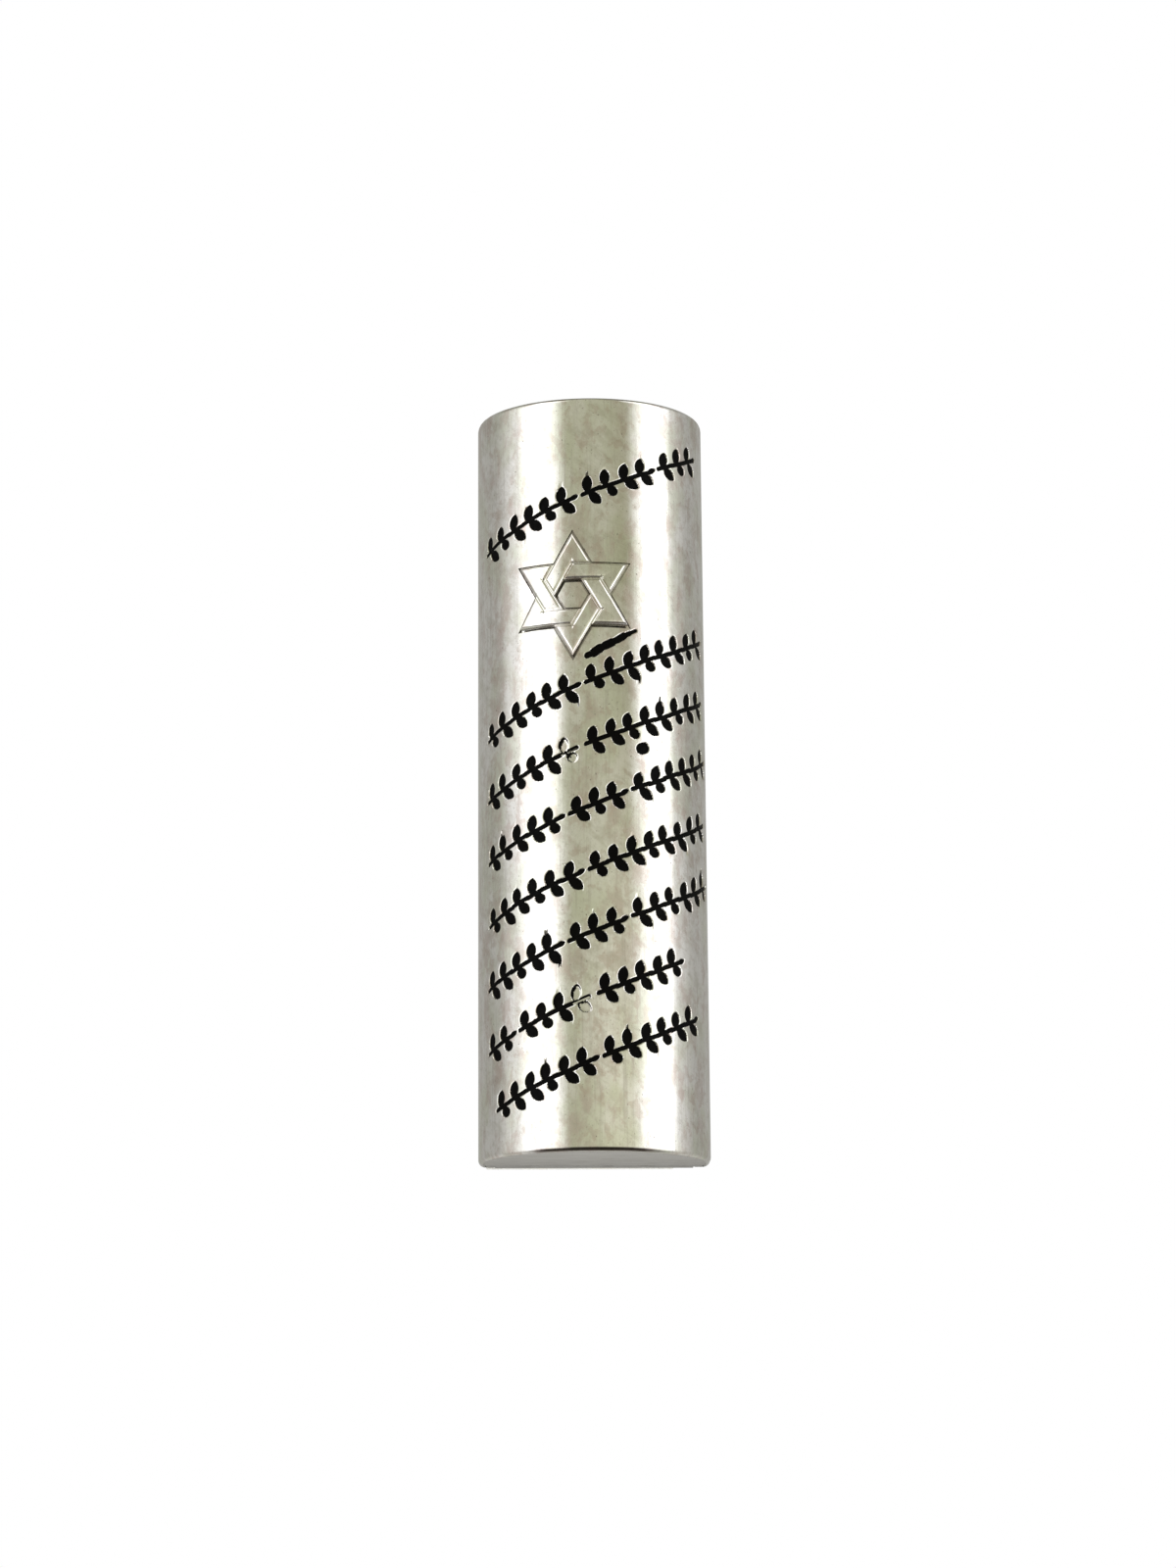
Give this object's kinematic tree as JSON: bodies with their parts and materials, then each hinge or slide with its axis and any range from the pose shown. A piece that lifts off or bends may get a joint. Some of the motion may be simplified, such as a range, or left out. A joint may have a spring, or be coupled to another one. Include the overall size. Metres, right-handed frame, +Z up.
{
  "type": "mezuzah case",
  "caption": "Half-round metal scroll case that slides on a flat adhesive back plate, with sprig engraving, a raised star and a pull-out lower cap.",
  "frame": {"origin": "centre of the adhesive tape's outer face, behind the middle of the case's length", "axes": "+Z up along the case as it hangs, +Y into the doorpost it is stuck to, +X to the right seen from the front"},
  "size_m": [0.021, 0.0122, 0.07],
  "materials": {
    "polished_metal": "polished cast metal, silver coloured, slightly tarnished",
    "satin_metal": "satin, fine brushed",
    "plate_metal": "brushed sheet metal",
    "black_enamel": "black enamel filling, semi-gloss",
    "foam_tape": "white closed-cell foam with an adhesive face",
    "clear_plastic": "clear thin-walled tube",
    "parchment": "matt rolled parchment, blank"
  },
  "bodies": {
    "back_plate": {"back_plate": "plate_metal", "adhesive_tape": "foam_tape"},
    "case": {"front_shell": "polished_metal", "top_cap": "satin_metal", "star_emblem": "polished_metal", "inlay_1_1": "black_enamel", "inlay_1_2": "black_enamel", "inlay_1_3": "black_enamel", "inlay_2_1": "black_enamel", "inlay_2_2": "black_enamel", "inlay_3_1": "black_enamel", "inlay_3_2": "black_enamel", "inlay_4_1": "black_enamel", "inlay_4_2": "black_enamel", "inlay_4_3": "black_enamel", "inlay_5_1": "black_enamel", "inlay_5_2": "black_enamel", "inlay_6_1": "black_enamel", "inlay_6_2": "black_enamel", "inlay_6_3": "black_enamel", "inlay_7_1": "black_enamel", "inlay_7_2": "black_enamel", "inlay_7_3": "black_enamel", "inlay_8_1": "black_enamel", "inlay_8_2": "black_enamel", "accent_inlay": "black_enamel", "dot_inlay": "black_enamel"},
    "scroll_carrier": {"bottom_cap": "satin_metal", "scroll_sleeve": "clear_plastic", "parchment_scroll": "parchment"}
  },
  "joints": [
    {"name": "case_slide", "type": "slide", "parent": "back_plate", "child": "case", "axis": [0, 0, 1], "range_m": [0, 0.071]},
    {"name": "cap_pull", "type": "slide", "parent": "case", "child": "scroll_carrier", "axis": [0, 0, -1], "range_m": [0, 0.065]}
  ]
}
